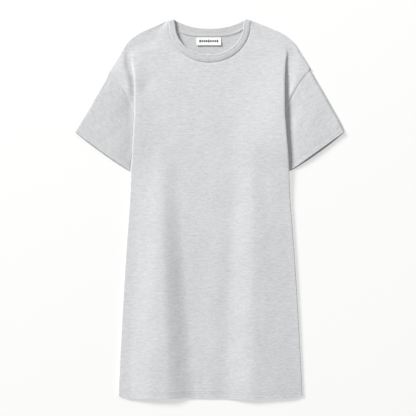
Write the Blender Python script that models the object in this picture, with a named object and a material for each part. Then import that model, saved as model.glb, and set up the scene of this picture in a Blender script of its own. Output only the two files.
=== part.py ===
"""T-shirt dress laid flat: front and back panels, two drop-shoulder sleeves,
a rib neckband and a woven label.  All sizes below are millimetres; the meshes
are written in metres.  +X is the viewer's right, +Y points to the neck, +Z is
up, and the surface the dress lies on is z = 0."""
import math

import bmesh
import bpy
import numpy as np

for old in list(bpy.data.objects):
    bpy.data.objects.remove(old, do_unlink=True)

MM = 0.001

# ---------------------------------------------------------------- named sizes
WALL = 1.2             # one layer of jersey
GAP = 0.3              # between two pieces at a seam or where one lies on another
HEM_DEPTH = 18.0       # turned-up hem and cuffs
HEM_EXTRA = 0.8        # extra thickness of the turned-up edge
RIB = 2.4              # doubled rib of the neckband
HEM_Y = -455.0         # straight of the hem
ARMPIT_Y = 218.0
SHOULDER_END_Y = 333.0  # where the sleeve's seam meets the shoulder fold

BACK_MID = WALL / 2.0                  # middle of the back layer
LOW_Z = WALL + GAP + WALL / 2.0        # middle of a front layer that lies on the back
PLATEAU = 8.4                          # middle of the front over the body
NECK_Z = 6.4                           # front at the neckband

# neckline: the band's inner and outer edges, as half ellipses round NECK_Y
NECK_Y = 440.0
BAND_IN = (81.5, 70.0)
BAND_OUT = (98.5, 89.0)
NECK_STEPS = 9
SHOULDER_NECK_IN = (85.3, 455.2)       # inner and outer corner of the band on the
SHOULDER_NECK_OUT = (101.4, 450.2)     # shoulder fold
BACK_TOP_Y, BACK_TOP_RISE = 434.3, 21.0    # back band: upper edge at the middle
BACK_SEAM_Y, BACK_SEAM_RISE = 412.9, 37.3  # back band: seam at the middle

LABEL = dict(x=-1.5, width=59.0, height=19.4, thick=1.0)

# ---------------------------------------------------------------- short tables
# outline of shoulders and sleeve tops (half widths at each height)
SHOULDER = dict(
    y=(452.0, 448.4, 434.0, 419.6, 405.2, 390.8, 376.4, 357.2, 333.0, 309.2, 285.2, 261.2, 237.2, 213.2, 189.0),
    left=(102.5, 110, 143.5, 174.5, 193.5, 205.5, 214.0, 225.5, 241.0, 254.5, 268.5, 282.5, 296.0, 311.0, 326.0),
    right=(102.5, 111.5, 148.0, 179.0, 197.5, 210.0, 218.5, 231.0, 246.0, 258.0, 272.0, 285.5, 299.0, 312.5, 325.6),
)
# armhole seam, from the shoulder fold to the armpit
ARMHOLE = dict(
    y=(333.0, 309.0, 290.0, 270.0, 250.0, 232.0, 222.0, 218.0),
    x=(242.0, 221.0, 208.5, 198.0, 189.5, 180.5, 172.5, 167.0),
)
# side seam below the armpit, under the roll of the front
SIDE = dict(
    y=(218.0, 190.0, 165.0, 140.0, 115.0, 91.0),
    x=(167.0, 171.3, 175.2, 179.6, 184.2, 188.0),
)
# visible edge of the front: the roll beside the armhole, then the skirt's sides
EDGE = dict(
    y=(460.0, 391.0, 330.0, 280.0, 235.0, 201.0, 165.0, 129.0, 91.0, 21.0, -27.0, -75.0, -123.0, -219.0, -315.0, -411.0, -456.0),
    left=(183.0, 183.0, 181.2, 180.0, 180.0, 182.0, 184.4, 186.4, 189.2, 191.5, 195.0, 198.6, 201.8, 207.5, 212.6, 217.4, 218.8),
    right=(184.0, 184.0, 181.4, 180.4, 180.6, 183.0, 185.3, 187.7, 190.8, 194.5, 198.4, 202.0, 205.4, 211.6, 217.0, 222.0, 224.0),
)
# soft fold of the front beside each armhole: how far the cloth is pushed back
# under the roll, how fully the fold is made (0 flat, 1 three layers), height of the roll
FOLD = dict(
    y=(460.0, 405.0, 388.0, 364.0, 340.0, 310.0, 270.0, 240.0, 218.0, 190.0, 165.0, 140.0, 91.0, 0.0, -455.0),
    depth=(7.0, 7.0, 7.0, 7.2, 7.5, 8.5, 11.0, 14.0, 17.5, 13.0, 11.0, 8.5, 8.0, 8.0, 8.0),
    made=(0.0, 0.0, 0.2, 0.6, 0.85, 1.0, 1.0, 1.0, 1.0, 1.0, 1.0, 1.0, 1.0, 1.0, 1.0),
    roll=(5.0, 6.2, 7.6, 9.2, 10.6, 11.5, 11.5, 11.5, 11.5, 11.5, 11.3, 10.8, 10.3, 10.0, 9.6),
)
# skirt folds: x at the hem and where they start, height where they start is 0
SKIRT_FOLDS = (
    dict(name="ridge_a", hem_x=-101.0, top_x=-122.0, top_y=220.0, height=5.8, left=62.0, right=42.0),
    dict(name="valley", hem_x=-10.0, top_x=-45.0, top_y=150.0, height=-4.3, left=52.0, right=62.0),
    dict(name="ridge_b", hem_x=97.0, top_x=70.0, top_y=170.0, height=4.4, left=52.0, right=60.0),
)


# ------------------------------------------------------------------- functions
def ease(t):
    t = min(max(t, 0.0), 1.0)
    return t * t * (3.0 - 2.0 * t)


def read(table, column, y):
    """A column of a table at height y, on a smooth curve through its rows."""
    ys, vs = table["y"], table[column]
    if ys[0] > ys[-1]:
        ys, vs = ys[::-1], vs[::-1]
    if y <= ys[0]:
        return float(vs[0])
    if y >= ys[-1]:
        return float(vs[-1])
    i = max(k for k in range(len(ys) - 1) if ys[k] <= y)

    def slope(k):
        if k == 0 or k == len(ys) - 1:
            return (vs[min(k + 1, len(ys) - 1)] - vs[max(k - 1, 0)]) / (ys[min(k + 1, len(ys) - 1)] - ys[max(k - 1, 0)])
        a = (vs[k] - vs[k - 1]) / (ys[k] - ys[k - 1])
        b = (vs[k + 1] - vs[k]) / (ys[k + 1] - ys[k])
        return 0.0 if a * b <= 0.0 else 2.0 * a * b / (a + b)

    h = ys[i + 1] - ys[i]
    t = (y - ys[i]) / h
    return ((1 + 2 * t) * (1 - t) ** 2 * vs[i] + t * (1 - t) ** 2 * h * slope(i)
            + t * t * (3 - 2 * t) * vs[i + 1] + t * t * (t - 1) * h * slope(i + 1))


def side_name(side):
    return "right" if side > 0 else "left"


def hem_drop(x):
    """The hem hangs a little lower on the two raised folds and lifts at its corners."""
    low = 2.6 * math.exp(-((x - 97.0) / 55.0) ** 2)
    corner = 6.0 * ease((abs(x - 2.0) - 195.0) / 26.0)
    return corner - low


def in_hem(y):
    return y < HEM_Y + HEM_DEPTH


def skirt_height(x, y):
    """Height of the front's middle surface away from its edges."""
    z = PLATEAU + (NECK_Z - PLATEAU) * ease((y - 300.0) / 70.0)
    for fold in SKIRT_FOLDS:
        grow = ease((fold["top_y"] - y) / (fold["top_y"] - HEM_Y))
        at = fold["hem_x"] + (fold["top_x"] - fold["hem_x"]) * (y - HEM_Y) / (fold["top_y"] - HEM_Y)
        reach = fold["left"] if x < at else fold["right"]
        z += fold["height"] * grow * ease(1.0 - abs(x - at) / reach)
    return z


def back_top(y):
    return WALL + (HEM_EXTRA if in_hem(y) else 0.0)


def neck_edge(phi, gap=0.0):
    return (BAND_OUT[0] + gap) * math.sin(phi), NECK_Y - (BAND_OUT[1] + gap) * math.cos(phi)


INNER = 8       # columns from the middle to the roll
TURN = 3        # facets in each bend of the fold


def front_row(y, side, x_in):
    """Middle line of the front along one row, from x_in out to its edge: (x, z)."""
    name = side_name(side)
    edge = read(EDGE, name, y) - WALL / 2.0
    if y > SHOULDER_END_Y + 0.5:
        end = read(SHOULDER, name, y)
    elif y >= ARMPIT_Y:
        end = read(ARMHOLE, "x", y) - GAP / 2.0 - 0.05
    else:
        end = read(SIDE, "x", y)
    roll = read(FOLD, "roll", y)
    made = read(FOLD, "made", y)
    r = (roll - LOW_Z) / 4.0
    depth = max(read(FOLD, "depth", y), 2.0 * r + WALL + 0.8)
    inner_x = edge + WALL / 2.0 - depth + WALL / 2.0
    # three layers: roll, back under, out again
    layers = []
    for k in range(TURN + 1):
        a = math.pi / 2.0 - math.pi * k / TURN
        layers.append((edge - r + r * math.cos(a), roll - r + r * math.sin(a)))
    for k in range(TURN + 1):
        a = math.pi / 2.0 + math.pi * k / TURN
        layers.append((inner_x + r + r * math.cos(a), LOW_Z + r + r * math.sin(a)))
    x0 = layers[-1][0]
    for k in range(1, 4):
        layers.append((x0 + (max(end, x0 + 1.5) - x0) * k / 3.0, LOW_Z))
    steps = len(layers)
    # a plain slope out to the edge
    start = min(edge - r, x_in + 0.45 * (end - x_in)) if y > 400.0 else edge - r
    z_start = roll
    plain = []
    for k in range(steps):
        t = k / (steps - 1.0)
        plain.append((start + (end - start) * t, z_start + (LOW_Z - z_start) * ease(t) ** 0.9))
    # a rounded edge that turns down on to the back panel
    z_end = back_top(y) + GAP
    wide = 9.0
    rounded = []
    for k in range(steps):
        a = math.pi / 2.0 * k / (steps - 1.0)
        rounded.append((edge - wide + wide * math.sin(a), z_end + (roll - z_end) * math.cos(a)))
    rounding = ease((128.0 - y) / 42.0)
    tail = []
    for flat, full, turned in zip(plain, layers, rounded):
        p = [flat[i] + (full[i] - flat[i]) * made for i in (0, 1)]
        tail.append(tuple(p[i] + (turned[i] - p[i]) * rounding for i in (0, 1)))
    x_roll, z_roll = tail[0]
    row = []
    for k in range(INNER):
        x = x_in + (x_roll - x_in) * k / INNER
        z = skirt_height(side * x, y)
        lift = ease((x - (x_roll - 40.0)) / 40.0) if y < 400.0 else ease(k / INNER)
        row.append((x, z + (z_roll - z) * lift))
    return row + tail


def shell_offsets(row, thick_out, thick_in):
    """Outer and inner side of a wall along a row's middle line."""
    pts = np.array(row)
    tangent = np.gradient(pts, axis=0)
    tangent /= np.linalg.norm(tangent, axis=1)[:, None]
    normal = np.stack([-tangent[:, 1], tangent[:, 0]], axis=1)
    return pts + normal * thick_out, pts - normal * thick_in


def finish(name, bm, colour, roughness, smooth=True):
    bmesh.ops.recalc_face_normals(bm, faces=bm.faces[:])
    mesh = bpy.data.meshes.new(name)
    bm.to_mesh(mesh)
    bm.free()
    mesh.transform(((MM, 0, 0, 0), (0, MM, 0, 0), (0, 0, MM, 0), (0, 0, 0, 1)))
    if smooth:
        mesh.shade_smooth()
        mesh.set_sharp_from_angle(angle=math.radians(50.0))
    mat = bpy.data.materials.new(name)
    mat.use_nodes = True
    node = mat.node_tree.nodes["Principled BSDF"]
    node.inputs["Base Color"].default_value = (*colour, 1.0)
    node.inputs["Roughness"].default_value = roughness
    node.inputs["Metallic"].default_value = 0.0
    mesh.materials.append(mat)
    obj = bpy.data.objects.new(name, mesh)
    bpy.context.scene.collection.objects.link(obj)
    return obj


# ---------------------------------------------------------------- shared rows
ARM_ROWS = [SHOULDER_END_Y + (222.0 - SHOULDER_END_Y) * k / 8.0 for k in range(9)]
SIDE_ROWS = [200.0, 182.0, 165.0, 148.0, 131.0, 112.0, 91.0]
SKIRT_ROWS = [50.0, 5.0, -45.0, -100.0, -155.0, -210.0, -265.0, -320.0, -370.0, -410.0,
              HEM_Y + HEM_DEPTH + 0.01, HEM_Y + HEM_DEPTH - 0.6, HEM_Y]
NECK_PHI = [math.pi / 2.0 * k / NECK_STEPS for k in range(NECK_STEPS + 1)]


# ---------------------------------------------------------------- front panel
def build_front():
    rows = [(y, 0.0, True) for y in reversed(SKIRT_ROWS)]
    rows += [(y, 0.0, True) for y in reversed(SIDE_ROWS)]
    rows += [(ARMPIT_Y, 0.0, True)]
    rows += [(y, 0.0, True) for y in reversed(ARM_ROWS)]
    for k, phi in enumerate(NECK_PHI):
        x, y = neck_edge(phi, GAP)
        rows.append((y, x, k == 0))
    rows.append((446.5, SHOULDER_NECK_OUT[0] + GAP - 0.4, False))
    bm = bmesh.new()
    grid = {}
    count = None
    for i, (y, x_in, joined) in enumerate(rows):
        for side in (1, -1):
            row = front_row(y, side, x_in)
            count = len(row)
            extra = HEM_EXTRA if in_hem(y) else 0.0
            outer, inner = shell_offsets(row, WALL / 2.0, WALL / 2.0 + extra)
            if joined:
                outer[0][0] = inner[0][0] = 0.0
            for j in range(count):
                for layer, pts in ((0, outer), (1, inner)):
                    key = (side, i, j, layer)
                    if joined and j == 0 and side < 0:
                        grid[key] = grid[(1, i, j, layer)]
                        continue
                    x = side * pts[j][0]
                    yy = y
                    if y < HEM_Y + 60.0:
                        yy += hem_drop(x) * ease((HEM_Y + 60.0 - y) / 60.0)
                    grid[key] = bm.verts.new((x, yy, pts[j][1]))
    n = len(rows)
    for side in (1, -1):
        for i in range(n - 1):
            for j in range(count - 1):
                for layer in (0, 1):
                    bm.faces.new([grid[(side, i, j, layer)], grid[(side, i, j + 1, layer)],
                                  grid[(side, i + 1, j + 1, layer)], grid[(side, i + 1, j, layer)]])
            bm.faces.new([grid[(side, i, count - 1, 0)], grid[(side, i, count - 1, 1)],
                          grid[(side, i + 1, count - 1, 1)], grid[(side, i + 1, count - 1, 0)]])
            if not (rows[i][2] and rows[i + 1][2]):
                bm.faces.new([grid[(side, i, 0, 0)], grid[(side, i, 0, 1)],
                              grid[(side, i + 1, 0, 1)], grid[(side, i + 1, 0, 0)]])
        for j in range(count - 1):
            for i in (0, n - 1):
                bm.faces.new([grid[(side, i, j, 0)], grid[(side, i, j, 1)],
                              grid[(side, i, j + 1, 1)], grid[(side, i, j + 1, 0)]])
    return finish("front_panel", bm, (0.62, 0.63, 0.645), 0.92)


# ----------------------------------------------------------------- back panel
def back_seam_y(x):
    return BACK_SEAM_Y + BACK_SEAM_RISE * (abs(x) / SHOULDER_NECK_OUT[0]) ** 3.6


def back_top_y(x):
    return BACK_TOP_Y + BACK_TOP_RISE * (abs(x) / SHOULDER_NECK_IN[0]) ** 2.3


def back_side(side):
    """Edge of the back panel from the hem's turning line up to the neckband."""
    name = side_name(side)
    pts = []
    for y in reversed([y for y in SKIRT_ROWS if y > HEM_Y + HEM_DEPTH]):
        pts.append((read(EDGE, name, y) - WALL / 2.0 - 0.4, y))
    for y in reversed(SIDE_ROWS):
        pts.append((min(read(SIDE, "x", y), read(EDGE, name, y) - 1.0), y))
    pts.append((ARMHOLE["x"][-1], ARMPIT_Y))
    for y in reversed(ARM_ROWS):
        pts.append((read(ARMHOLE, "x", y) - GAP / 2.0, y))
    for y in (357.2, 376.4, 390.8, 405.2, 419.6, 434.0, 446.0):
        pts.append((read(SHOULDER, name, y) - 0.8, y))
    return [(side * x, y) for x, y in pts]


def build_back():
    right = back_side(1)
    left = back_side(-1)
    neck = []
    for k in range(17):
        x = 97.5 * (1.0 - k / 8.0)
        neck.append((x, back_seam_y(x) - GAP - 2.0 * abs(x) / 97.5))
    hem = []
    for k in range(9):
        t = k / 8.0
        x = left[0][0] + 0.8 + (right[0][0] - left[0][0] - 1.6) * t
        hem.append((x, HEM_Y + 1.2 + hem_drop(x) * 0.8))
    bm = bmesh.new()
    outline = right + neck + left[::-1]
    low = [bm.verts.new((x, y, 0.0)) for x, y in outline]
    high = [bm.verts.new((x, y, WALL)) for x, y in outline]
    hem_low = [bm.verts.new((x, y, 0.0)) for x, y in hem]
    hem_high = [bm.verts.new((x, y, WALL + HEM_EXTRA)) for x, y in hem]
    step_l = bm.verts.new((*left[0], WALL + HEM_EXTRA))
    step_r = bm.verts.new((*right[0], WALL + HEM_EXTRA))
    n = len(outline)
    bm.faces.new(low + hem_low)
    bm.faces.new(high)
    bm.faces.new([high[n - 1], high[0], step_r, step_l])
    bm.faces.new([step_r] + hem_high[::-1] + [step_l])
    for i in range(n - 1):
        bm.faces.new([low[i], low[i + 1], high[i + 1], high[i]])
    for i in range(len(hem) - 1):
        bm.faces.new([hem_low[i], hem_low[i + 1], hem_high[i + 1], hem_high[i]])
    bm.faces.new([low[0], high[0], step_r, hem_high[-1], hem_low[-1]])
    bm.faces.new([low[-1], hem_low[0], hem_high[0], step_l, high[-1]])
    bmesh.ops.triangulate(bm, faces=bm.faces[:])
    return finish("back_panel", bm, (0.60, 0.61, 0.625), 0.92)


# -------------------------------------------------------------------- sleeves
SLEEVES = {
    1: dict(cuff_top=(324.5, 185.5), cuff_low=(193.4, 91.5), bulge=0.4),
    -1: dict(cuff_top=(324.7, 187.0), cuff_low=(192.2, 91.5), bulge=1.2),
}
SLEEVE_SECTIONS = (0.0, 0.12, 0.28, 0.46, 0.64, 0.82)


def sleeve_plan(side, u, s):
    """Where a sleeve's point lies: u from the shoulder fold to the underarm
    fold, s from the armhole seam to the cuff."""
    cut = SLEEVES[side]
    name = side_name(side)

    def seam(u):
        y = ARM_ROWS[0] + (ARM_ROWS[-1] - ARM_ROWS[0]) * u
        return np.array((read(ARMHOLE, "x", y) + GAP / 2.0 + 0.1, y - 0.1))

    def cuff(u):
        a, b = np.array(cut["cuff_top"]), np.array(cut["cuff_low"])
        d = (b - a) / np.linalg.norm(b - a)
        out = np.array((-d[1], d[0]))
        return a + (b - a) * u + out * cut["bulge"] * math.sin(math.pi * u) ** 0.8 if 0 < u < 1 else a + (b - a) * u

    def top(s):
        y = ARM_ROWS[0] + (cut["cuff_top"][1] - ARM_ROWS[0]) * s
        ends = seam(0.0)[0] * (1 - s) + cut["cuff_top"][0] * s
        line = read(SHOULDER, name, y) - 1.9
        keep = ease(min(s, 1.0 - s) / 0.15)
        return np.array((ends + (line - ends) * keep, y - 0.1 * (1 - s)))

    def under(s):
        a, b = seam(1.0), np.array(cut["cuff_low"])
        return a + (b - a) * s + np.array((1.5, 0.0)) * math.sin(math.pi * s)

    corners = ((1 - u) * (1 - s) * seam(0.0) + u * (1 - s) * seam(1.0)
               + (1 - u) * s * np.array(cut["cuff_top"]) + u * s * np.array(cut["cuff_low"]))
    p = (1 - s) * seam(u) + s * cuff(u) + (1 - u) * top(s) + u * under(s) - corners
    return p


def sleeve_height(u, s):
    """Distance between the two layers' middle surfaces."""
    open_ = ease(s / 0.55)
    return WALL + GAP + open_ * (5.2 * math.sin(math.pi * min(max(u, 0.0), 1.0)) ** 0.9 + 0.6)


def build_sleeve(side):
    name = "sleeve_right" if side > 0 else "sleeve_left"
    steps = len(ARM_ROWS) - 1
    length = 118.0
    turn = 1.0 - HEM_DEPTH / length
    sections = [(s, 0.0) for s in SLEEVE_SECTIONS] + [(turn, 0.0), (turn + 0.006, HEM_EXTRA), (1.0, HEM_EXTRA)]
    bm = bmesh.new()
    rings = []
    for s, extra in sections:
        across = sleeve_plan(side, 1.0, s) - sleeve_plan(side, 0.0, s)
        across /= np.linalg.norm(across)
        along = np.array((-across[1], across[0]))
        middle = []     # (plan point, z, normal across, normal z, room to the other layer)
        for k in range(steps + 1):
            u = k / steps
            high = sleeve_height(u, s)
            middle.append((sleeve_plan(side, u, s), BACK_MID + high, 0.0, 1.0, high / 2.0 - 0.13))
        half = sleeve_height(1.0, s) / 2.0
        tip = sleeve_plan(side, 1.0, s)
        middle.append((tip + across * half, BACK_MID + half, 1.0, 0.0, half - 0.1))
        reach = 3.0 * s
        for k in range(steps, -1, -1):
            u = k / steps
            shift = reach * math.sin(math.pi * u) ** 0.5 if 0 < u < 1 else 0.0
            middle.append((sleeve_plan(side, u, s) + along * shift, BACK_MID, 0.0, -1.0,
                           sleeve_height(u, s) / 2.0 - 0.13))
        half = sleeve_height(0.0, s) / 2.0
        tip = sleeve_plan(side, 0.0, s)
        middle.append((tip - across * half, BACK_MID + half, -1.0, 0.0, half - 0.1))
        ring = []
        for layer in (0, 1):
            verts = []
            for p, z, na, nz, room in middle:
                d = WALL / 2.0 if layer == 0 else -min(WALL / 2.0 + extra, room)
                q = p + across * na * d
                verts.append(bm.verts.new((side * q[0], q[1], z + nz * d)))
            ring.append(verts)
        rings.append(ring)
    m = len(rings[0][0])
    for a, b in zip(rings, rings[1:]):
        for layer in (0, 1):
            for k in range(m):
                bm.faces.new([a[layer][k], a[layer][(k + 1) % m], b[layer][(k + 1) % m], b[layer][k]])
    for ring in (rings[0], rings[-1]):
        for k in range(m):
            bm.faces.new([ring[0][k], ring[0][(k + 1) % m], ring[1][(k + 1) % m], ring[1][k]])
    return finish(name, bm, (0.62, 0.63, 0.645), 0.92)


# ------------------------------------------------------------------- neckband
def build_neckband():
    stations = []    # inner point, outer point, z, normal in plan, normal z
    up = np.array(SHOULDER_NECK_OUT) - np.array(SHOULDER_NECK_IN)
    width = np.linalg.norm(up)
    outward = np.array((-up[1], up[0])) / width
    for phi in NECK_PHI:
        stations.append(((BAND_IN[0] * math.sin(phi), NECK_Y - BAND_IN[1] * math.cos(phi)),
                         neck_edge(phi), NECK_Z, (0.0, 0.0), 1.0))
    back_z = RIB / 2.0
    mid_z, reach = (NECK_Z + back_z) / 2.0, (NECK_Z - back_z) / 2.0
    inner = np.array(SHOULDER_NECK_IN) - outward * 1.2
    outer = np.array(SHOULDER_NECK_OUT) - outward * 1.2
    turn = 6
    for k in range(turn + 1):
        a = math.pi * k / turn
        d = outward * reach * math.sin(a)
        stations.append((tuple(inner + d), tuple(outer + d), mid_z + reach * math.cos(a),
                         tuple(outward * math.sin(a)), math.cos(a)))
    for k in range(1, 9):
        t = 1.0 - k / 8.0
        xi, xo = (SHOULDER_NECK_IN[0] - 1.5) * t, (SHOULDER_NECK_OUT[0] - 2.5) * t
        stations.append(((xi, back_top_y(xi) - 0.6), (xo, back_seam_y(xo)), back_z, (0.0, 0.0), -1.0))
    ring = [(1, s) for s in stations] + [(-1, s) for s in stations[-2:0:-1]]
    bm = bmesh.new()
    loops = []
    for side, (a, b, z, n, nz) in ring:
        a, b, n = np.array(a), np.array(b), np.array(n)
        loop = []
        for p, d in ((a, 1), (b, 1), (b, -1), (a, -1)):
            depth = RIB / 2.0 if d > 0 else -min(RIB / 2.0, max(reach - 0.12, 0.0) + (RIB / 2.0) * (abs(nz) > 0.999))
            depth = max(min(depth, RIB / 2.0), -RIB / 2.0)
            q = p + n * depth
            loop.append(bm.verts.new((side * q[0], q[1], z + nz * depth)))
        loops.append(loop)
    m = len(loops)
    for i in range(m):
        a, b = loops[i], loops[(i + 1) % m]
        for k in range(4):
            bm.faces.new([a[k], a[(k + 1) % 4], b[(k + 1) % 4], b[k]])
    return finish("neckband", bm, (0.60, 0.61, 0.625), 0.95)


# ---------------------------------------------------------------------- label
def build_label():
    bm = bmesh.new()
    bmesh.ops.create_cube(bm, size=1.0)
    top = BACK_SEAM_Y - GAP - 0.1
    z0 = WALL + GAP
    for v in bm.verts:
        v.co.x = LABEL["x"] + v.co.x * LABEL["width"]
        v.co.y = top - LABEL["height"] / 2.0 + v.co.y * LABEL["height"]
        v.co.z = z0 + LABEL["thick"] / 2.0 + v.co.z * LABEL["thick"]
    return finish("label", bm, (0.9, 0.9, 0.9), 0.6, smooth=False)


pieces = [build_front(), build_back(), build_sleeve(1), build_sleeve(-1), build_neckband(), build_label()]

# the origin is the middle of the whole dress on the surface it lies on
corners = [v.co for piece in pieces for v in piece.data.vertices]
shift_x = -(min(c.x for c in corners) + max(c.x for c in corners)) / 2.0
shift_y = -(min(c.y for c in corners) + max(c.y for c in corners)) / 2.0
for piece in pieces:
    for v in piece.data.vertices:
        v.co.x += shift_x
        v.co.y += shift_y
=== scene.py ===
"""T-shirt dress laid flat: the looks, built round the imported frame.
All working sizes are millimetres in the dress's own frame; meshes are metres."""
import math

import bmesh
import bpy
import numpy as np
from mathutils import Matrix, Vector


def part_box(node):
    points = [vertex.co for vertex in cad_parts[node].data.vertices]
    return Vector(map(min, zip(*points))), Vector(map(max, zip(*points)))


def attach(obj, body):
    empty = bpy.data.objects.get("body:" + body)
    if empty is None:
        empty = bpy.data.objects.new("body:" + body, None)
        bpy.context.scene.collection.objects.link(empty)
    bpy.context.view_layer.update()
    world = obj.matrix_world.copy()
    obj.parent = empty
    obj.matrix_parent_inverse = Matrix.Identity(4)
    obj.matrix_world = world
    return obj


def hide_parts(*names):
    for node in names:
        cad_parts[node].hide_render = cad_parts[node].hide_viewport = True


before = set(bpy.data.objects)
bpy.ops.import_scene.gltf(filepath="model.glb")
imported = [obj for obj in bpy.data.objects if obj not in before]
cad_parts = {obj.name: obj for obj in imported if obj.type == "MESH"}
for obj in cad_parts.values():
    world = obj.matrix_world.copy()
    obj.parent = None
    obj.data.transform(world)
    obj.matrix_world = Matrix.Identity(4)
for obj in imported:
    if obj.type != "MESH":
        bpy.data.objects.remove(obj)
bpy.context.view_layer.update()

MM = 0.001

# ---------------------------------------------------------------- named sizes
CLOTH = 1.15           # one layer of jersey
GAP = 0.3
HEM_DEPTH = 18.0
HEM_Y = -455.0
ARMPIT_Y = 218.0
ARM_LOW_Y = 222.0
SHOULDER_END_Y = 333.0
BACK_MID = 0.6
LOW_Z = 2.1
PLATEAU = 8.4
NECK_Z = 6.4
NECK_Y = 440.0
BAND_IN = (81.5, 70.0)
BAND_OUT = (98.5, 89.0)
SHOULDER_NECK_IN = (85.3, 455.2)
SHOULDER_NECK_OUT = (101.4, 450.2)
BACK_TOP_Y, BACK_TOP_RISE = 434.3, 21.0
BACK_SEAM_Y, BACK_SEAM_RISE = 412.9, 37.3
LABEL = dict(x=-1.5, width=59.0, height=19.4, thick=0.8)
RIB = 2.4

# the frame is centred on the whole dress: the label's node gives the shift
lab_lo, lab_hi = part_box("label")
SHIFT_X = (lab_lo[0] + lab_hi[0]) / 2.0 / MM - LABEL["x"]
SHIFT_Y = lab_hi[1] / MM - (BACK_SEAM_Y - GAP - 0.1)

# ---------------------------------------------------------------- short tables
SHOULDER = dict(
    y=(452.0, 448.4, 434.0, 419.6, 405.2, 390.8, 376.4, 357.2, 333.0, 309.2, 285.2, 261.2, 237.2, 213.2, 189.0),
    left=(102.5, 110, 143.5, 174.5, 193.5, 205.5, 214.0, 225.5, 241.0, 254.5, 268.5, 282.5, 296.0, 311.0, 326.0),
    right=(102.5, 111.5, 148.0, 179.0, 197.5, 210.0, 218.5, 231.0, 246.0, 258.0, 272.0, 285.5, 299.0, 312.5, 325.6),
)
ARMHOLE = dict(
    y=(333.0, 309.0, 290.0, 270.0, 250.0, 232.0, 222.0, 218.0),
    x=(242.0, 221.0, 208.5, 198.0, 189.5, 180.5, 172.5, 167.0),
)
SIDE = dict(
    y=(218.0, 190.0, 165.0, 140.0, 115.0, 91.0),
    x=(167.0, 171.3, 175.2, 179.6, 184.2, 188.0),
)
EDGE = dict(
    y=(460.0, 391.0, 330.0, 280.0, 235.0, 201.0, 165.0, 129.0, 91.0, 21.0, -27.0, -75.0, -123.0, -219.0, -315.0, -411.0, -456.0),
    left=(183.0, 183.0, 181.2, 180.0, 180.0, 182.0, 184.4, 186.4, 189.2, 191.5, 195.0, 198.6, 201.8, 207.5, 212.6, 217.4, 218.8),
    right=(184.0, 184.0, 181.8, 181.4, 181.8, 184.2, 186.9, 190.0, 191.8, 194.5, 198.4, 202.0, 205.4, 211.6, 217.0, 222.0, 224.0),
)
FOLD = dict(
    y=(460.0, 405.0, 388.0, 364.0, 340.0, 310.0, 270.0, 240.0, 218.0, 190.0, 165.0, 140.0, 91.0, 0.0, -455.0),
    depth=(7.0, 7.0, 7.0, 7.2, 7.5, 8.5, 11.0, 14.0, 17.5, 13.0, 11.0, 8.5, 8.0, 8.0, 8.0),
    made_right=(0.0, 0.0, 0.2, 0.6, 0.85, 1.0, 1.0, 1.0, 1.0, 1.0, 1.0, 1.0, 1.0, 1.0, 1.0),
    made_left=(0.0, 0.0, 0.08, 0.34, 0.66, 0.92, 1.0, 1.0, 1.0, 1.0, 1.0, 1.0, 1.0, 1.0, 1.0),
    roll_right=(5.2, 5.4, 6.0, 7.2, 8.8, 10.6, 12.8, 14.2, 14.8, 15.0, 15.0, 14.0, 10.6, 7.0, 4.8),
    roll_left=(5.2, 5.2, 5.6, 6.6, 7.6, 8.8, 9.4, 9.6, 9.6, 9.4, 9.0, 8.0, 6.2, 5.2, 4.8),
)
# the skirt's folds as flanks: centre of the flank and its width at the top and at
# the hem, how far the cloth rises (or falls) across it, where it begins and is full
FLANKS = (
    dict(top_y=240.0, full_y=-200.0, top_x=-130.0, hem_x=-158.0, top_wide=44.0, hem_wide=104.0, rise=4.3),
    dict(top_y=240.0, full_y=-230.0, top_x=-104.0, hem_x=-69.0, top_wide=40.0, hem_wide=68.0, rise=-10.2),
    dict(top_y=300.0, full_y=-120.0, top_x=86.0, hem_x=70.0, top_wide=54.0, hem_wide=76.0, rise=6.6),
    dict(top_y=290.0, full_y=-200.0, top_x=130.0, hem_x=132.0, top_wide=50.0, hem_wide=60.0, rise=-1.6),
    dict(top_y=120.0, full_y=-200.0, top_x=-186.0, hem_x=-204.0, top_wide=14.0, hem_wide=20.0, rise=-1.0),
    dict(top_y=120.0, full_y=-200.0, top_x=-172.0, hem_x=-184.0, top_wide=16.0, hem_wide=22.0, rise=1.2),
    dict(top_y=150.0, full_y=-300.0, top_x=10.0, hem_x=-14.0, top_wide=40.0, hem_wide=46.0, rise=0.7),
    dict(top_y=150.0, full_y=-300.0, top_x=44.0, hem_x=20.0, top_wide=30.0, hem_wide=34.0, rise=-0.7),
)
# soft creases on the front: from (x0, y0) to (x1, y1), height, half width
CREASES = (
    dict(x0=-172.0, y0=268.0, x1=-120.0, y1=330.0, height=-0.6, width=16.0),
    dict(x0=-174.0, y0=215.0, x1=-92.0, y1=242.0, height=-0.7, width=17.0),
    dict(x0=-60.0, y0=196.0, x1=-118.0, y1=60.0, height=0.5, width=22.0),
    dict(x0=60.0, y0=250.0, x1=128.0, y1=205.0, height=-0.5, width=18.0),
    dict(x0=176.0, y0=236.0, x1=112.0, y1=292.0, height=-0.5, width=16.0),
    dict(x0=120.0, y0=120.0, x1=150.0, y1=-60.0, height=-0.8, width=20.0),
    dict(x0=12.0, y0=330.0, x1=-14.0, y1=236.0, height=0.4, width=24.0),
)
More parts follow.
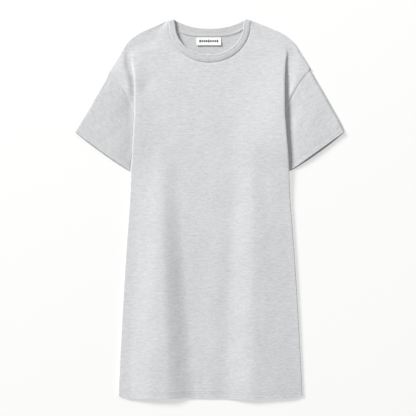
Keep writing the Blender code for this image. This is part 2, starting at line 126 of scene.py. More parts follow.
# soft creases on the back's outer side, lifted off the surface it lies on
BACK_CREASES = (
    dict(x0=-150.0, y0=-440.0, x1=-128.0, y1=-90.0, height=0.8, width=13.0),
    dict(x0=-38.0, y0=-455.0, x1=-30.0, y1=-180.0, height=0.6, width=11.0),
    dict(x0=70.0, y0=-455.0, x1=52.0, y1=-40.0, height=0.9, width=15.0),
    dict(x0=168.0, y0=-430.0, x1=140.0, y1=-210.0, height=0.6, width=10.0),
    dict(x0=-150.0, y0=222.0, x1=-60.0, y1=300.0, height=0.6, width=12.0),
    dict(x0=150.0, y0=214.0, x1=84.0, y1=262.0, height=0.7, width=11.0),
    dict(x0=-88.0, y0=398.0, x1=-150.0, y1=352.0, height=0.5, width=10.0),
    dict(x0=36.0, y0=120.0, x1=20.0, y1=-20.0, height=0.5, width=14.0),
)
SLEEVES = {
    1: dict(cuff_top=(324.5, 185.5), cuff_low=(193.4, 91.5), bulge=0.4, puff=4.8, brim=0.72, sink=0.0),
    -1: dict(cuff_top=(324.7, 187.0), cuff_low=(192.2, 91.5), bulge=1.2, puff=6.4, brim=0.95, sink=0.36),
}
SLEEVE_CREASES = {
    1: (dict(u0=0.62, s0=0.02, u1=0.50, s1=0.62, height=-0.9, width=0.09),
        dict(u0=0.30, s0=0.08, u1=0.22, s1=0.70, height=0.5, width=0.10)),
    -1: (dict(u0=0.66, s0=0.02, u1=0.58, s1=0.55, height=-0.15, width=0.10),
         dict(u0=0.30, s0=0.10, u1=0.22, s1=0.80, height=-0.1, width=0.09)),
}


# ------------------------------------------------------------------- functions
def ease(t):
    t = np.clip(t, 0.0, 1.0)
    return t * t * (3.0 - 2.0 * t)


def read(table, column, y):
    """A column of a table at height y, on a smooth curve through its rows."""
    ys, vs = table["y"], table[column]
    if ys[0] > ys[-1]:
        ys, vs = ys[::-1], vs[::-1]
    if y <= ys[0]:
        return float(vs[0])
    if y >= ys[-1]:
        return float(vs[-1])
    i = max(k for k in range(len(ys) - 1) if ys[k] <= y)

    def slope(k):
        if k == 0 or k == len(ys) - 1:
            return (vs[min(k + 1, len(ys) - 1)] - vs[max(k - 1, 0)]) / (ys[min(k + 1, len(ys) - 1)] - ys[max(k - 1, 0)])
        a = (vs[k] - vs[k - 1]) / (ys[k] - ys[k - 1])
        b = (vs[k + 1] - vs[k]) / (ys[k + 1] - ys[k])
        return 0.0 if a * b <= 0.0 else 2.0 * a * b / (a + b)

    h = ys[i + 1] - ys[i]
    t = (y - ys[i]) / h
    return ((1 + 2 * t) * (1 - t) ** 2 * vs[i] + t * (1 - t) ** 2 * h * slope(i)
            + t * t * (3 - 2 * t) * vs[i + 1] + t * t * (t - 1) * h * slope(i + 1))


def side_name(side):
    return "right" if side > 0 else "left"


def hem_drop(x):
    low = 2.6 * np.exp(-((x - 97.0) / 55.0) ** 2)
    corner = 6.0 * ease((np.abs(x - 2.0) - 195.0) / 26.0)
    tuck = 1.4 * np.exp(-((x + 57.0) / 7.0) ** 2)
    return corner - low + tuck


def creased(x, y, table):
    """Sum of the soft creases at a point: each a line with rounded ends."""
    z = np.zeros(np.broadcast(x, y).shape)
    for c in table:
        dx, dy = c["x1"] - c["x0"], c["y1"] - c["y0"]
        long = math.hypot(dx, dy)
        t = ((x - c["x0"]) * dx + (y - c["y0"]) * dy) / long ** 2
        off = ((x - c["x0"]) * dy - (y - c["y0"]) * dx) / long
        fade = ease(t / 0.35) * ease((1.0 - t) / 0.35)
        z = z + c["height"] * fade * np.exp(-(off / c["width"]) ** 2)
    return z


def cockle(x, y, amount=0.12):
    """The slight unevenness of a soft knit: a few crossing waves."""
    return amount * (np.sin(x / 11.3 + 1.7 * np.sin(y / 37.0)) * np.sin(y / 17.9 + 0.6)
                     + 0.8 * np.sin(x / 23.7 - y / 31.0 + 2.1)
                     + 0.6 * np.sin(x / 7.9 + y / 13.1 + 0.4) * np.sin(y / 9.7))


def body_height(x, y):
    """Middle of the front away from its edges."""
    z = PLATEAU + (NECK_Z - PLATEAU) * ease((y + 60.0) / 220.0) + 0.0 * x
    for f in FLANKS:
        grow = ease((f["top_y"] - y) / (f["top_y"] - f["full_y"]))
        down = min(max((f["top_y"] - y) / (f["top_y"] - HEM_Y), 0.0), 1.0)
        at = f["top_x"] + (f["hem_x"] - f["top_x"]) * down
        wide = f["top_wide"] + (f["hem_wide"] - f["top_wide"]) * down
        z = z + f["rise"] * grow * ease((x - at) / wide + 0.5)
    return z + creased(x, y, CREASES) + cockle(x, y)


def arm_u(y):
    return (SHOULDER_END_Y - y) / (SHOULDER_END_Y - ARM_LOW_Y)


def seam_gap(u):
    """Distance between the two layers along the armhole seam."""
    rim = math.sqrt(max(1.0 - (1.0 - min(max(u, 0.0) / 0.04, 1.0)) ** 2, 0.0))
    return 1.5 + 3.2 * rim * ease((0.84 - u) / 0.45)


def seam_dip(d, depth=0.75, width=1.3):
    return -depth * np.exp(-(d / width) ** 2)


# ---------------------------------------------------------------- front panel
INNER = 46
TURN = 7
RUN = 20


def front_row(y, side, x_in):
    name = side_name(side)
    half = CLOTH / 2.0
    edge = read(EDGE, name, y) - half
    if y > SHOULDER_END_Y + 0.5:
        end = read(SHOULDER, name, y) - half
        z_out = 1.5
    elif y >= ARMPIT_Y:
        end = read(ARMHOLE, "x", y) - GAP / 2.0 - 0.1
        z_out = BACK_MID + float(seam_gap(arm_u(y)))
    else:
        end = read(SIDE, "x", y)
        z_out = LOW_Z
    roll = read(FOLD, "roll_" + name, y)
    made = read(FOLD, "made_" + name, y)
    r = (roll - LOW_Z) / 4.0
    depth = max(read(FOLD, "depth", y), 2.0 * r + CLOTH + 0.8)
    inner_x = edge + half - depth + half
    rim = r * (0.45 if side > 0 else 0.2)
    rise = 34.0 if side > 0 else 15.0
    layers = []
    for k in range(TURN + 1):
        a = math.pi / 2.0 - math.pi * k / TURN
        layers.append((edge + rim * (math.cos(a) - 1.0), roll - r + r * math.sin(a)))
    for k in range(TURN + 1):
        a = math.pi / 2.0 + math.pi * k / TURN
        layers.append((inner_x + r + r * math.cos(a), LOW_Z + r + r * math.sin(a)))
    x0 = layers[-1][0]
    last = max(end, x0 + 1.5)
    far = last - x0
    high = max(z_out, 4.9) if y > SHOULDER_END_Y - 45.0 else z_out
    for k in range(1, RUN + 1):
        t = 1.0 - (1.0 - k / RUN) ** 1.15
        x = x0 + far * t
        z = LOW_Z + (high - LOW_Z) * float(ease((x - edge - 0.5) / min(rise, max(0.8 * far, 2.0))))
        if high > z_out + 0.05 and z > z_out:
            z = z_out + (z - z_out) * math.sqrt(max(1.0 - (max(x - (last - 3.6), 0.0) / 3.6) ** 2, 0.0))
        elif high <= z_out + 0.05 and t > 0.5:
            z = z + (z_out - z) * float(ease((t - 0.5) / 0.5))
        if side < 0 and y < 400.0:
            z += 2.2 * float(ease((x - edge) / 20.0) * ease((last - x) / 34.0) * ease((400.0 - y) / 40.0))
        if ARMPIT_Y <= y <= SHOULDER_END_Y - 3.0:
            z += float(seam_dip(last - x, 0.8 if side > 0 else 0.4)) * float(ease((SHOULDER_END_Y - 3.0 - y) / 8.0))
        if side < 0 and 318.0 < y < 412.0:
            z += float(seam_dip(last - x - 9.5, 0.5, 1.4)) * float(ease((412.0 - y) / 20.0))
        layers.append((x, z))
    steps = len(layers)
    # plain slope to the shoulder edge, which turns down
    near = float(ease((y - 368.0) / 44.0))
    start = (edge - rim) * (1.0 - near) + min(edge - rim, x_in + 0.45 * (end - x_in)) * near
    brow = min(3.6, 0.45 * (end - start))
    shelf = 4.9 if side > 0 else 6.0
    plain = []
    for k in range(steps):
        t = k / (steps - 1.0)
        t = 1.0 - (1.0 - t) ** 1.35
        x = start + (end - start) * t
        z = roll + (shelf - roll) * float(ease(t))
        d = max(x - (end - brow), 0.0) / brow
        z = z_out + (z - z_out) * math.sqrt(max(1.0 - d * d, 0.0))
        plain.append((x, z))
    z_end = 1.5
    wide = 1.4
    rounded = []
    for k in range(steps):
        a = math.pi / 2.0 * k / (steps - 1.0)
        rounded.append((edge - wide + wide * math.sin(a), z_end + (roll - z_end) * math.cos(a)))
    rounding = float(ease((102.0 - y) / 34.0))
    tail = []
    for flat, full, turned in zip(plain, layers, rounded):
        p = [flat[i] + (full[i] - flat[i]) * made for i in (0, 1)]
        tail.append(tuple(p[i] + (turned[i] - p[i]) * rounding for i in (0, 1)))
    x_roll, z_roll = tail[0]
    k = np.arange(INNER) / INNER
    x = x_in + (x_roll - x_in) * k
    z = body_height(side * x, y)
    reach = 32.0 + 46.0 * float(ease((300.0 - y) / 80.0)) + 20.0 * float(ease((y - 330.0) / 40.0))
    if side > 0:
        reach += (150.0 - reach) * float(ease((400.0 - y) / 70.0) * ease((y - 40.0) / 110.0))
    lift = ease((x - (x_roll - reach)) / reach) * (1.0 - near) + ease(k) * near
    lift = lift * (0.75 + 0.25 * lift)
    z = z + (z_roll - z) * lift
    tail = np.array(tail)
    return np.concatenate([np.stack([x, z], axis=1), tail])


def front_rows():
    rows = [(HEM_Y + 1.3 * k, 0.0, True) for k in range(17)]
    y = rows[-1][0]
    n = 118
    rows += [(y + (91.0 - y) * k / n, 0.0, True) for k in range(1, n + 1)]
    rows += [(91.0 + (ARMPIT_Y - 91.0) * k / 36.0, 0.0, True) for k in range(1, 37)]
    rows += [(ARMPIT_Y + (SHOULDER_END_Y - ARMPIT_Y) * k / 36.0, 0.0, True) for k in range(1, 37)]
    low = NECK_Y - BAND_OUT[1] - GAP
    rows += [(SHOULDER_END_Y + (low - SHOULDER_END_Y) * k / 6.0, 0.0, True) for k in range(1, 6)]
    for k in range(46):
        phi = math.pi / 2.0 * k / 45.0
        rows.append((NECK_Y - (BAND_OUT[1] + GAP) * math.cos(phi), (BAND_OUT[0] + GAP) * math.sin(phi), k == 0))
    for k in range(1, 5):
        t = k / 4.0
        rows.append((NECK_Y + 9.5 * t, BAND_OUT[0] + GAP + 2.9 * t + 0.3 * t, False))
    return rows


FRONT_ROWS = front_rows()


def hem_shift(x, y):
    return hem_drop(x) * ease((HEM_Y + 60.0 - y) / 60.0)


def front_grid():
    """Middle surface of the front: one array of points for each half."""
    halves = {}
    for side in (1, -1):
        lines = []
        for y, x_in, joined in FRONT_ROWS:
            row = front_row(y, side, x_in)
            x = side * row[:, 0]
            yy = y + hem_shift(x, y)
            z = row[:, 1]
            if not joined or y > 340.0:
                # the neckline turns down into its seam
                d = np.abs(np.hypot((row[:, 0]) / (BAND_OUT[0] + GAP), (y - NECK_Y) / (BAND_OUT[1] + GAP)) - 1.0) * 92.0
                if y < NECK_Y:
                    z = z + seam_dip(d, 0.35, 1.3)
            lines.append(np.stack([x, yy, z], axis=1))
        halves[side] = np.array(lines)
    return halves


def grid_normals(p, first_tangent=None):
    tu = np.gradient(p, axis=1)
    tv = np.gradient(p, axis=0)
    if first_tangent is not None:
        for i, t in first_tangent.items():
            tu[i, 0] = t
    n = np.cross(tu, tv)
    n /= np.linalg.norm(n, axis=2)[:, :, None] + 1e-12
    return n


def new_object(name, verts, faces, uvs, material):
    """verts in mm; faces as tuples of indices; uvs one (u, v) a vertex, in mm."""
    mesh = bpy.data.meshes.new(name)
    v = (np.asarray(verts, float) + np.array([SHIFT_X, SHIFT_Y, 0.0])) * MM
    mesh.from_pydata(v.tolist(), [], [tuple(int(i) for i in f) for f in faces])
    mesh.update()
    layer = mesh.uv_layers.new(name="cloth")
    loops = np.empty(len(mesh.loops), dtype=np.int32)
    mesh.loops.foreach_get("vertex_index", loops)
    layer.data.foreach_set("uv", (np.asarray(uvs, float)[loops] * 0.001).astype(np.float32).ravel())
    bm = bmesh.new()
    bm.from_mesh(mesh)
    bmesh.ops.recalc_face_normals(bm, faces=bm.faces[:])
    bm.to_mesh(mesh)
    bm.free()
    mesh.shade_smooth()
    mesh.set_sharp_from_angle(angle=math.radians(70.0))
    mesh.materials.append(material)
    obj = bpy.data.objects.new(name, mesh)
    bpy.context.scene.collection.objects.link(obj)
    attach(obj, "root")
    return obj


def build_front(material):
    halves = front_grid()
    rows, cols = halves[1].shape[:2]
    joined = [r[2] for r in FRONT_ROWS]
    verts, uvs, index = [], [], {}
    sides = {}
    for side in (1, -1):
        p = halves[side]
        fix = {}
        for i in range(rows):
            if joined[i]:
                fix[i] = (halves[1][i, 1] - halves[-1][i, 1]) / 2.0 * side
        n = grid_normals(p, fix) * side
        arc = np.concatenate([np.zeros((rows, 1)), np.cumsum(np.linalg.norm(np.diff(p[:, :, [0, 2]], axis=1), axis=2), axis=1)], axis=1)
        sides[side] = (p, n, arc)
    for layer, offset in ((0, CLOTH / 2.0), (1, -CLOTH / 2.0)):
        for side in (1, -1):
            p, n, arc = sides[side]
            q = p + n * offset
            for i in range(rows):
                inner = layer == 1 and FRONT_ROWS[i][0] < HEM_Y + HEM_DEPTH
                for j in range(cols):
                    if joined[i] and j == 0 and side < 0:
                        index[(side, i, j, layer)] = index[(1, i, j, layer)]
                        continue
                    index[(side, i, j, layer)] = len(verts)
                    c = q[i, j].copy()
                    if inner:
                        c = c - n[i, j] * 0.7
                        c[2] = max(c[2], min(p[i, j, 2] - 0.3, 1.45))
                    verts.append(c)
                    uvs.append((side * (abs(p[i, 0, 0]) + arc[i, j]), p[i, j, 1]))
    faces = []
    for side in (1, -1):
        for i in range(rows - 1):
            for j in range(cols - 1):
                for layer in (0, 1):
                    faces.append((index[(side, i, j, layer)], index[(side, i, j + 1, layer)],
                                  index[(side, i + 1, j + 1, layer)], index[(side, i + 1, j, layer)]))
            faces.append((index[(side, i, cols - 1, 0)], index[(side, i, cols - 1, 1)],
                          index[(side, i + 1, cols - 1, 1)], index[(side, i + 1, cols - 1, 0)]))
            if not (joined[i] and joined[i + 1]):
                faces.append((index[(side, i, 0, 0)], index[(side, i, 0, 1)],
                              index[(side, i + 1, 0, 1)], index[(side, i + 1, 0, 0)]))
        for j in range(cols - 1):
            for i in (0, rows - 1):
                faces.append((index[(side, i, j, 0)], index[(side, i, j, 1)],
                              index[(side, i, j + 1, 1)], index[(side, i, j + 1, 0)]))
    return new_object("front_cloth", verts, faces, uvs, material), sides


# ----------------------------------------------------------------- back panel
def back_seam_y(x):
    return BACK_SEAM_Y + BACK_SEAM_RISE * (np.abs(x) / SHOULDER_NECK_OUT[0]) ** 3.6


def back_top_y(x):
    return BACK_TOP_Y + BACK_TOP_RISE * (np.abs(x) / SHOULDER_NECK_IN[0]) ** 2.3


def back_outer(y, side):
    """Half width of the back at each height."""
    name = side_name(side)
    if y > SHOULDER_END_Y + 0.5:
        return read(SHOULDER, name, y) - 0.7
    if y >= ARMPIT_Y:
        return read(ARMHOLE, "x", y) - GAP / 2.0 - 0.1
    return min(read(SIDE, "x", y), read(EDGE, name, y) - 1.0) if y > 91.0 else read(EDGE, name, y) - 1.0


def build_back(material):
    """A sheet of columns: each runs up its own share of the width, from the hem to
    the armhole, the shoulder edge or the neck seam."""
    rows = [HEM_Y + 1.2 + 1.5 * k for k in range(13)]
    y = rows[-1]
    rows += [y + (91.0 - y) * k / 70.0 for k in range(1, 71)]
    rows += [91.0 + (SHOULDER_END_Y - 91.0) * k / 46.0 for k in range(1, 47)]
    top = BACK_SEAM_Y - 1.0
    rows += [SHOULDER_END_Y + (top - SHOULDER_END_Y) * k / 16.0 for k in range(1, 17)]
    count = 44
    grids = {}
    for side in (1, -1):
        lines = []
        for y in rows:
            w = back_outer(y, side)
            u = np.linspace(0.0, 1.0, count + 1)
            x = side * w * u
            yy = y + hem_shift(x, y)
            lift = creased(x, yy, BACK_CREASES) * ease((1.0 - u) / 0.06)
            lines.append(np.stack([x, yy, BACK_MID + 0.0 * x + np.maximum(lift, 0.0)], axis=1))
        # above the middle of the neck seam each half ends on the seam's curve
        extra = 12
        for k in range(1, extra + 1):
            t = k / extra
            xs = np.linspace(0.0, 1.0, count + 1)
            x_max_y = 446.0
            line = []
            for u in xs:
                # blend from the last straight row to the seam and the shoulder edge
                x_low = back_outer(top, side) * u
                if u < 0.55:
                    xe = 97.5 * (u / 0.55)
                    ye = float(back_seam_y(xe)) - GAP - 0.3 - 0.7 * (u / 0.55) ** 3
                else:
                    v = (u - 0.55) / 0.45
                    ye = x_max_y + (top + 0.3 - x_max_y) * v
                    xe = back_outer(ye, side)
                    if v == 0.0:
                        xe = 100.0
                line.append((side * (x_low + (xe - x_low) * t), top + (ye - top) * t, BACK_MID))
            line = np.array(line)
            line[:, 2] += np.maximum(creased(line[:, 0], line[:, 1], BACK_CREASES), 0.0) * ease((1.0 - t) / 0.3) * ease((1.0 - xs) / 0.06)
            lines.append(line)
        grids[side] = np.array(lines)
    n_rows = len(grids[1])
    verts, uvs, index = [], [], {}
    for layer in (0, 1):
        for side in (1, -1):
            for i in range(n_rows):
                for j in range(count + 1):
                    if j == 0 and side < 0:
                        index[(side, i, j, layer)] = index[(1, i, j, layer)]
                        continue
                    index[(side, i, j, layer)] = len(verts)
                    c = grids[side][i, j].copy()
                    if layer == 0:
                        c[2] += CLOTH / 2.0 + (0.7 if i < 13 else 0.0)
                    else:
                        c[2] = max(c[2] - 0.6, 0.0)
                    verts.append(c)
                    uvs.append((c[0] + 700.0, c[1] + 90.0))
    faces = []
    for side in (1, -1):
        for i in range(n_rows - 1):
            for j in range(count):
                for layer in (0, 1):
                    faces.append((index[(side, i, j, layer)], index[(side, i, j + 1, layer)],
                                  index[(side, i + 1, j + 1, layer)], index[(side, i + 1, j, layer)]))
            faces.append((index[(side, i, count, 0)], index[(side, i, count, 1)],
                          index[(side, i + 1, count, 1)], index[(side, i + 1, count, 0)]))
        for j in range(count):
            for i in (0, n_rows - 1):
                faces.append((index[(side, i, j, 0)], index[(side, i, j, 1)],
                              index[(side, i, j + 1, 1)], index[(side, i, j + 1, 0)]))
    return new_object("back_cloth", verts, faces, uvs, material)


# -------------------------------------------------------------------- sleeves
def sleeve_plan(side, u, s):
    cut = SLEEVES[side]
    name = side_name(side)
    y0, y1 = SHOULDER_END_Y, ARM_LOW_Y

    def seam(u):
        y = y0 + (y1 - y0) * u
        return np.array((read(ARMHOLE, "x", y) + GAP / 2.0 + 0.1, y - 0.1))

    def cuff(u):
        a, b = np.array(cut["cuff_top"]), np.array(cut["cuff_low"])
        d = (b - a) / np.linalg.norm(b - a)
        out = np.array((-d[1], d[0]))
        return a + (b - a) * u + (out * cut["bulge"] * math.sin(math.pi * u) ** 0.8 if 0 < u < 1 else 0.0)

    def top(s):
        y = y0 + (cut["cuff_top"][1] - y0) * s
        ends = seam(0.0)[0] * (1 - s) + cut["cuff_top"][0] * s
        line = read(SHOULDER, name, y) - 1.9
        keep = float(ease(min(s, 1.0 - s) / 0.15))
        return np.array((ends + (line - ends) * keep, y - 0.1 * (1 - s)))

    def under(s):
        a, b = seam(1.0), np.array(cut["cuff_low"])
        return a + (b - a) * s + np.array((1.5, 0.0)) * math.sin(math.pi * s)

    corners = ((1 - u) * (1 - s) * seam(0.0) + u * (1 - s) * seam(1.0)
               + (1 - u) * s * np.array(cut["cuff_top"]) + u * s * np.array(cut["cuff_low"]))
    return (1 - s) * seam(u) + s * cuff(u) + (1 - u) * top(s) + u * under(s) - corners


def sleeve_height(side, u, s):
    open_ = float(ease(s / 0.5))
    u = min(max(u, 0.0), 1.0)
    cut = SLEEVES[side]
    edge_round = math.sqrt(max(1.0 - (1.0 - min(u / 0.035, 1.0)) ** 2, 0.0))
    shape = edge_round * float((cut["brim"] + (1.0 - cut["brim"]) * ease(u / 0.5)) * (1.0 - cut["sink"] * ease((u - 0.05) / 0.7)) * (1.0 - (max(u - 0.60, 0.0) / 0.40) ** 2))
    low = float(seam_gap(u)) * (1.0 - open_)
    h = low + open_ * (1.5 + 0.6 + SLEEVES[side]["puff"] * shape)
    fade = float(ease(u / 0.1) * ease((1.0 - u) / 0.1) * ease(s / 0.1))
    for c in SLEEVE_CREASES[side]:
        du, ds = c["u1"] - c["u0"], c["s1"] - c["s0"]
        long = math.hypot(du, ds)
        t = ((u - c["u0"]) * du + (s - c["s0"]) * ds) / long ** 2
        off = ((u - c["u0"]) * ds - (s - c["s0"]) * du) / long
        h += c["height"] * fade * float(ease(t / 0.3) * ease((1.0 - t) / 0.3)) * math.exp(-(off / c["width"]) ** 2)
    return max(h, 1.5)


def build_sleeve(side, material):
    name = "sleeve_right_cloth" if side > 0 else "sleeve_left_cloth"
    steps, back_steps, tip = 60, 44, 5
    length = 118.0
    sections = [0.0, 0.008, 0.018, 0.032, 0.05] + [0.05 + (0.84 - 0.05) * k / 30.0 for k in range(1, 31)]
    sections += [0.84 + 0.16 * k / 14.0 for k in range(1, 15)]
    rings = []
    for s in sections:
        across = sleeve_plan(side, 1.0, s) - sleeve_plan(side, 0.0, s)
        chord = np.linalg.norm(across)
        across /= chord
        along = np.array((-across[1], across[0]))
        ring = []    # x, y, z, normal across, normal z, room, u in mm
        for k in range(steps + 1):
            u = k / steps
            p = sleeve_plan(side, u, s)
            h = sleeve_height(side, u, s)
            dip = float(seam_dip(s * length, 0.5, 6.0) if side > 0 else seam_dip(s * length, 0.3, 2.6))
            if side < 0:
                dip += float(seam_dip(u * chord - 9.5, 0.4, 1.4)) * float(ease((0.42 - s) / 0.2)) * float(ease(s / 0.02))
            z = BACK_MID + h + max(dip, 1.5 - h)
            z += float(cockle(p[0] * side + 333.0, p[1])) * float(ease(u / 0.12) * ease((1 - u) / 0.12) * ease(s / 0.1))
            ring.append((p[0], p[1], z, 0.0, 1.0, h / 2.0 - 0.13, u * chord))
        h = sleeve_height(side, 1.0, s)
        p = sleeve_plan(side, 1.0, s)
        for k in range(1, tip):
            a = math.pi * k / tip
            q = p + across * (h / 2.0) * math.sin(a)
            ring.append((q[0], q[1], BACK_MID + h / 2.0 + h / 2.0 * math.cos(a), math.sin(a), math.cos(a), h / 2.0 - 0.1, chord + h * 0.7 * k / tip))
        for k in range(back_steps, -1, -1):
            u = k / back_steps
            shift = (4.8 if side > 0 else 3.2) * s ** 2 * math.sin(math.pi * u) ** 0.5 if 0 < u < 1 else 0.0
            q = sleeve_plan(side, u, s) + along * shift
            ring.append((q[0], q[1], BACK_MID, 0.0, -1.0, sleeve_height(side, u, s) / 2.0 - 0.13, 2.0 * chord + 2.0 - u * chord))
        h = sleeve_height(side, 0.0, s)
        p = sleeve_plan(side, 0.0, s)
        for k in range(1, tip):
            a = math.pi * k / tip
            q = p - across * (h / 2.0) * math.sin(a)
            ring.append((q[0], q[1], BACK_MID + h / 2.0 - h / 2.0 * math.cos(a), -math.sin(a), -math.cos(a), h / 2.0 - 0.1, 2.0 * chord + 2.0 + h * 0.7 * k / tip))
        rings.append((s, across, ring))
    m = len(rings[0][2])
    verts, uvs, index = [], [], {}
    for layer in (0, 1):
        for i, (s, across, ring) in enumerate(rings):
            extra = 0.7 if s > 0.84 else 0.0
            for k, (x, y, z, na, nz, room, um) in enumerate(ring):
                d = CLOTH / 2.0 if layer == 0 else -min(CLOTH / 2.0 + extra, room)
                index[(layer, i, k)] = len(verts)
                verts.append((side * (x + across[0] * na * d), y + across[1] * na * d, max(z + nz * d, 0.0)))
                uvs.append((um + (1400.0 if side > 0 else 2100.0), s * length + 40.0))
    faces = []
    for i in range(len(rings) - 1):
        for k in range(m):
            for layer in (0, 1):
                faces.append((index[(layer, i, k)], index[(layer, i, (k + 1) % m)],
                              index[(layer, i + 1, (k + 1) % m)], index[(layer, i + 1, k)]))
    for i in (0, len(rings) - 1):
        for k in range(m):
            faces.append((index[(0, i, k)], index[(0, i, (k + 1) % m)], index[(1, i, (k + 1) % m)], index[(1, i, k)]))
    return new_object(name, verts, faces, uvs, material)


# ------------------------------------------------------------------- neckband
def band_stations():
    """Round the neck from the middle of the front: inner point, outer point, z of
    each, plan normal, up normal.  Right half only; the left is its mirror."""
    out = []
    edge = np.array(SHOULDER_NECK_OUT) - np.array(SHOULDER_NECK_IN)
    outward = np.array((-edge[1], edge[0])) / np.linalg.norm(edge)
    back_z = RIB / 2.0
    mid_z, reach = (NECK_Z + back_z) / 2.0, (NECK_Z - back_z) / 2.0
    steps = 60
    for k in range(steps + 1):
        phi = math.pi / 2.0 * k / steps
        a = np.array((BAND_IN[0] * math.sin(phi), NECK_Y - BAND_IN[1] * math.cos(phi)))
        b = np.array((BAND_OUT[0] * math.sin(phi), NECK_Y - BAND_OUT[1] * math.cos(phi)))
        out.append((a, b, NECK_Z, (0.0, 0.0), 1.0))
    inner = np.array(SHOULDER_NECK_IN) - outward * 1.2
    outer = np.array(SHOULDER_NECK_OUT) - outward * 1.2
    a0, b0 = out[-1][0], out[-1][1]
    for k in range(1, 6):
        t = k / 6.0
        out.append((a0 + (inner - a0) * t, b0 + (outer - b0) * t, NECK_Z, (0.0, 0.0), 1.0))
    for k in range(13):
        a = math.pi * k / 12.0
        d = outward * reach * math.sin(a)
        out.append((inner + d, outer + d, mid_z + reach * math.cos(a), tuple(outward * math.sin(a)), math.cos(a)))
    steps = 40
    for k in range(1, steps + 1):
        t = 1.0 - k / steps
        xi, xo = (SHOULDER_NECK_IN[0] - 1.5) * t, (SHOULDER_NECK_OUT[0] - 2.5) * t
        out.append((np.array((xi, float(back_top_y(xi)) - 0.6)), np.array((xo, float(back_seam_y(xo)))), back_z, (0.0, 0.0), -1.0))
    return out, reach


def band_section():
    """The doubled rib's section: across the band (0 inner, 1 outer) and the height
    of its outer and inner faces, each in half thicknesses."""
    top, low = [], []
    for k in range(25):
        t = k / 24.0
        t = 0.5 - 0.5 * math.cos(math.pi * t)
        round_in = math.sqrt(max(1.0 - ((0.07 - min(t, 0.07)) / 0.07) ** 2, 0.0))
        round_out = 1.0 - 0.3 * float(ease((t - 0.9) / 0.1))
        crown = 1.0 + 0.2 * math.sin(math.pi * t) + 0.22 * math.exp(-((t - 0.08) / 0.06) ** 2)
        groove = 0.0
        for g in (0.40, 0.70):
            groove += 0.26 * math.exp(-((t - g) / 0.035) ** 2)
        top.append((t, round_in * round_out * crown - groove))
        low.append((t, -round_in * (1.0 + 0.4 * math.exp(-((t - 0.84) / 0.1) ** 2)) * (1.0 - 0.35 * float(ease((t - 0.93) / 0.07)))))
    return top, low


def build_neckband(material, painted_shade_band_material):
    stations, reach = band_stations()
    ring = [(1, s) for s in stations] + [(-1, s) for s in stations[-2:0:-1]]
    top, low = band_section()
    section = [(t, h) for t, h in top] + [(t, h) for t, h in low[-2:0:-1]]
    verts, uvs = [], []
    run = 0.0
    last = None
    for side, (a, b, z, n, nz) in ring:
        n = np.array(n)
        mid = np.array((side * (a[0] + b[0]) / 2.0, (a[1] + b[1]) / 2.0, z))
        if last is not None:
            run += float(np.linalg.norm(mid - last))
        last = mid
        for t, h in section:
            p = a + (b - a) * t
            d = h * RIB / 2.0
            if h < 0.0:
                d = -min(-d, max(reach - 0.12, 0.0)) if abs(nz) < 0.999 else d
            q = p + n * d
            zz = z + nz * d
            # the front's inner edge stands a little proud
            if nz > 0.999:
                zz += 0.5 + 0.4 * (1.0 - t) ** 2 - 0.9 * float(ease((t - 0.7) / 0.3))
            verts.append((side * q[0], q[1], max(zz, 0.0)))
            uvs.append((run + 2800.0, t * 18.0))
    m, n_st = len(section), len(ring)
    faces = []
    for i in range(n_st):
        for k in range(m):
            a, b = i * m, ((i + 1) % n_st) * m
            faces.append((a + k, a + (k + 1) % m, b + (k + 1) % m, b + k))
    obj = new_object("neckband_cloth", verts, faces, uvs, material)
    obj.data.materials.append(painted_shade_band_material)
    # painted shade: the band's back part, round the back of the neck, takes the darker material
    for k, poly in enumerate(obj.data.polygons):
        if 75 <= (k // m) <= n_st - 75:
            poly.material_index = 1
    return obj


# ---------------------------------------------------------------------- label
def label_height(x, y):
    """Upper face of the label: flat where it is sewn, curling a little at its free edge."""
    top = BACK_SEAM_Y - GAP - 0.4
    t = (top - y) / LABEL["height"]
    side = (x - LABEL["x"]) / (LABEL["width"] / 2.0)
    return 1.5 + LABEL["thick"] + 1.5 * ease(t) + 0.5 * ease(t) * side ** 2


def build_label(material, ink):
    nx, ny = 40, 14
    top = BACK_SEAM_Y - GAP - 0.4
    verts, uvs, index = [], [], {}
    for layer in (0, 1):
        for j in range(ny + 1):
            for i in range(nx + 1):
                x = LABEL["x"] + LABEL["width"] * (i / nx - 0.5)
                y = top - LABEL["height"] * j / ny
                z = float(label_height(x, y))
                index[(layer, i, j)] = len(verts)
                verts.append((x, y, z - layer * LABEL["thick"]))
                uvs.append((x, y))
    faces = []
    for layer in (0, 1):
        for j in range(ny):
            for i in range(nx):
                faces.append((index[(layer, i, j)], index[(layer, i + 1, j)], index[(layer, i + 1, j + 1)], index[(layer, i, j + 1)]))
    for i in range(nx):
        for j in (0, ny):
            faces.append((index[(0, i, j)], index[(0, i + 1, j)], index[(1, i + 1, j)], index[(1, i, j)]))
    for j in range(ny):
        for i in (0, nx):
            faces.append((index[(0, i, j)], index[(0, i, j + 1)], index[(1, i, j + 1)], index[(1, i, j)]))
    cloth = new_object("label_cloth", verts, faces, uvs, material)

    # a plain woven motif: a row of lozenges, the middle and end ones taller
    verts, uvs, faces = [], [], []

    def patch(outline):
        base = len(verts)
        for dz in (0.14, -0.1):
            for x, y in outline:
                verts.append((x, y, float(label_height(x, y)) + dz))
                uvs.append((x, y))
        n = len(outline)
        faces.append(tuple(base + k for k in range(n)))
        faces.append(tuple(base + n + k for k in range(n)))
        for k in range(n):
            faces.append((base + k, base + (k + 1) % n, base + n + (k + 1) % n, base + n + k))

    cy = top - LABEL["height"] * 0.47
    for k in range(9):
        cx = LABEL["x"] + (k - 4) * 5.2
        ry = 4.0 if k in (0, 4, 8) else 3.0
        patch([(cx + 2.0, cy + 0.5 * ry), (cx, cy + ry), (cx - 2.0, cy + 0.5 * ry),
               (cx - 2.0, cy - 0.5 * ry), (cx, cy - ry), (cx + 2.0, cy - 0.5 * ry)])
    motif = new_object("label_motif", verts, faces, uvs, ink)
    motif.data.shade_flat()
    return cloth, motif


